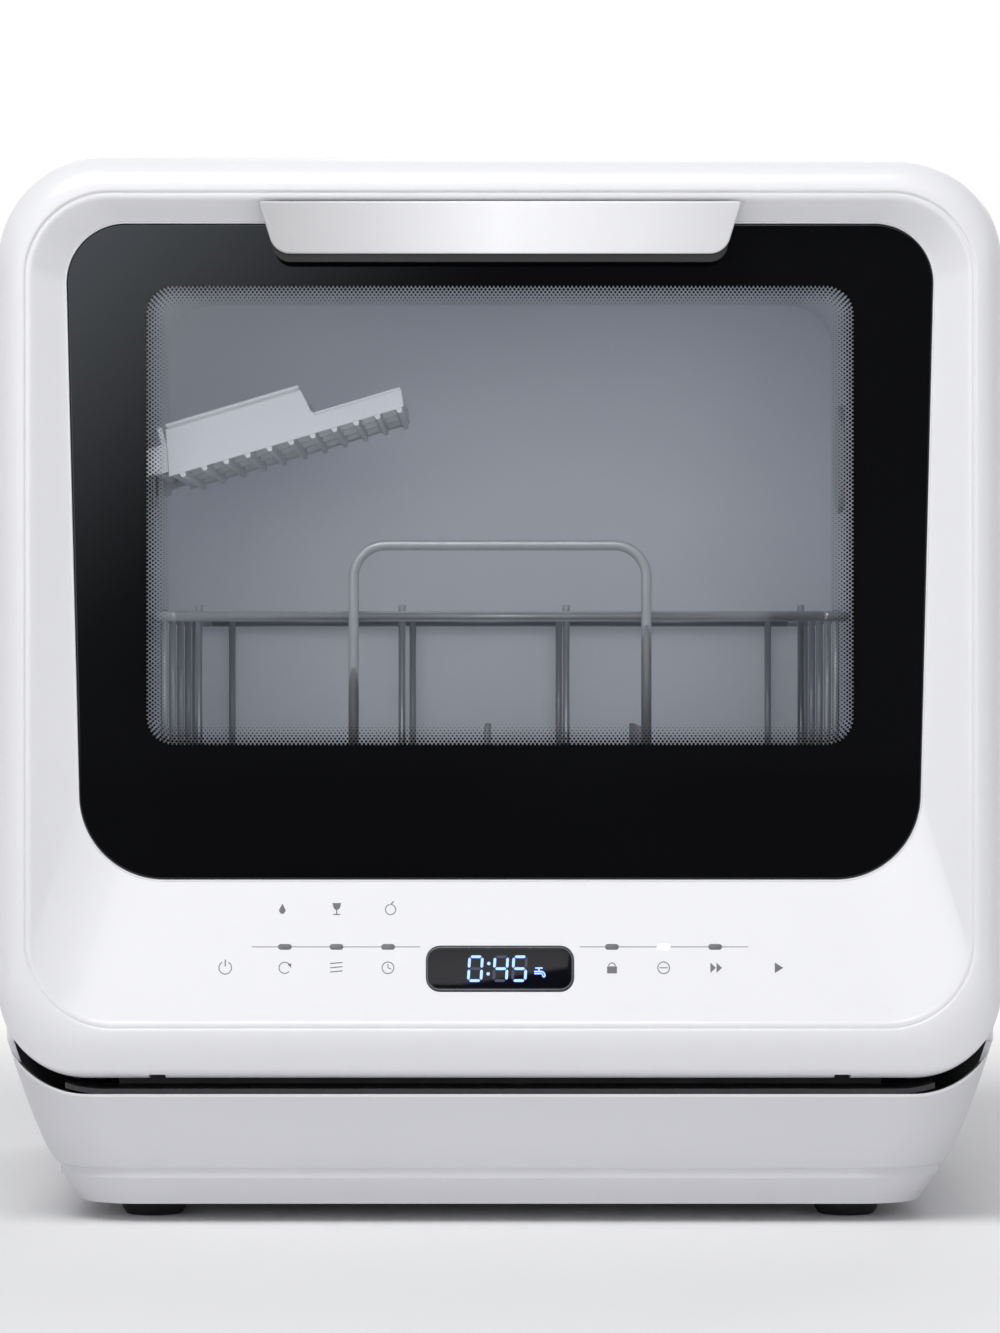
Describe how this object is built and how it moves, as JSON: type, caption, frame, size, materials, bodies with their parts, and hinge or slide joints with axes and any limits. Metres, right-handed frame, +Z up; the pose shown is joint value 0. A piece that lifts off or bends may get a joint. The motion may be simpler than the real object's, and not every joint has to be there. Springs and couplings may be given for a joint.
{
  "type": "countertop dishwasher",
  "caption": "Compact countertop dishwasher with a dished drop-down glass door, wire basket on rails, spray arm, filter, cutlery rack and built-in water tank.",
  "frame": {"origin": "on the floor under the middle of the overall box, feet included", "axes": "+Z up, -Y towards the front with the door, +X to the right seen from the front"},
  "size_m": [0.43, 0.435, 0.458],
  "materials": {
    "white_shell": "satin white, finely moulded",
    "white_fascia": "glossy white",
    "shade_shell": "matt off-white",
    "rear_sheet": "powder coated",
    "black_plastic": "matt black",
    "black_gloss": "glossy black print behind glass",
    "clear_glass": "clear, slightly smoked",
    "handle_metal": "brushed, clear coated",
    "steel": "plain steel",
    "wire": "grey coated wire",
    "tub_plastic": "satin grey",
    "grey_plastic": "satin grey",
    "rubber": "matt",
    "lens": "glossy black lens",
    "lamp": "translucent",
    "board": "green board",
    "tank": "translucent"
  },
  "bodies": {
    "cabinet": {"outer_casing": "white_shell", "rear_panel": "rear_sheet", "rear_screws": "steel", "base_skirt": "shade_shell", "gap_strip": "black_plastic", "base_tray": "shade_shell", "feet": "rubber", "front_frame": "black_plastic", "door_gasket": "rubber", "tub": "tub_plastic", "tub_rails": "grey_plastic", "rack_holder": "grey_plastic", "vent_grille": "grey_plastic", "sump": "black_plastic", "spray_riser": "grey_plastic", "filter_plate": "steel", "wash_pump": "black_plastic", "hoses": "rubber", "pump_mounts": "rubber", "flow_heater": "steel", "drain_pump": "shade_shell", "drain_spigot": "black_plastic", "inlet_valve": "shade_shell", "cord_gland": "black_plastic", "water_tank": "tank", "fill_funnel": "white_shell", "fan_housing": "black_plastic", "latch_block": "black_plastic", "hinge_brackets": "steel", "power_board": "board", "float_post": "black_plastic"},
    "door": {"door_rim": "white_shell", "door_fascia": "white_fascia", "indicator_lamps": "lamp", "display_lens": "lens", "control_board": "board", "door_glass": "clear_glass", "glass_mask": "black_gloss", "window_spacer": "black_plastic", "inner_pane": "clear_glass", "door_liner": "steel", "door_screws": "steel", "dispenser_body": "grey_plastic", "hinge_arms": "steel", "door_strike": "steel", "handle": "handle_metal"},
    "dispenser_cover": {"dispenser_lid": "white_shell"},
    "basket": {"basket_floor": "wire", "basket_front_wall": "wire", "basket_back_wall": "wire", "basket_side_walls": "wire", "plate_tines": "wire", "basket_glides": "grey_plastic"},
    "rack": {"cutlery_rack": "grey_plastic"},
    "spray": {"spray_arm": "grey_plastic"},
    "filter": {"filter_cup": "grey_plastic"},
    "port_lid": {"fill_lid": "white_shell"},
    "float": {"overflow_float": "white_shell"},
    "fan": {"fan_rotor": "grey_plastic"},
    "plunger": {"latch_plunger": "white_shell"}
  },
  "joints": [
    {"name": "door_hinge", "type": "hinge", "parent": "cabinet", "child": "door", "pos_m": [0, -0.195, 0.084], "axis": [1, 0, 0], "range_deg": [0, 90]},
    {"name": "basket_slide", "type": "slide", "parent": "cabinet", "child": "basket", "axis": [0, -1, 0], "range_m": [0, 0.135]},
    {"name": "dispenser_lid_slide", "type": "slide", "parent": "door", "child": "dispenser_cover", "axis": [1, 0, 0], "range_m": [0, 0.054]},
    {"name": "cutlery_rack_lift", "type": "slide", "parent": "cabinet", "child": "rack", "axis": [0, 0, 1], "range_m": [0, 0.02]},
    {"name": "spray_arm_spin", "type": "hinge", "parent": "cabinet", "child": "spray", "pos_m": [0, -0.0275, 0.113], "axis": [0, 0, 1], "continuous": true},
    {"name": "filter_twist", "type": "hinge", "parent": "cabinet", "child": "filter", "pos_m": [0.074, -0.1015, 0.1], "axis": [0, 0, 1], "range_deg": [0, 60]},
    {"name": "fill_lid_hinge", "type": "hinge", "parent": "cabinet", "child": "port_lid", "pos_m": [0.11, 0.189, 0.4551], "axis": [-1, 0, 0], "range_deg": [0, 100]},
    {"name": "float_rise", "type": "slide", "parent": "cabinet", "child": "float", "axis": [0, 0, 1], "range_m": [0, 0.008]},
    {"name": "fan_spin", "type": "hinge", "parent": "cabinet", "child": "fan", "pos_m": [0.18, 0.06, 0.34], "axis": [1, 0, 0], "continuous": true},
    {"name": "latch_press", "type": "slide", "parent": "cabinet", "child": "plunger", "axis": [0, 0, 1], "range_m": [-0.003, 0], "stiffness_N_per_m": 400}
  ],
  "couplings": [
    {"joint": "basket_slide", "follows": "door_hinge", "m_per_rad": 0.0859}
  ]
}
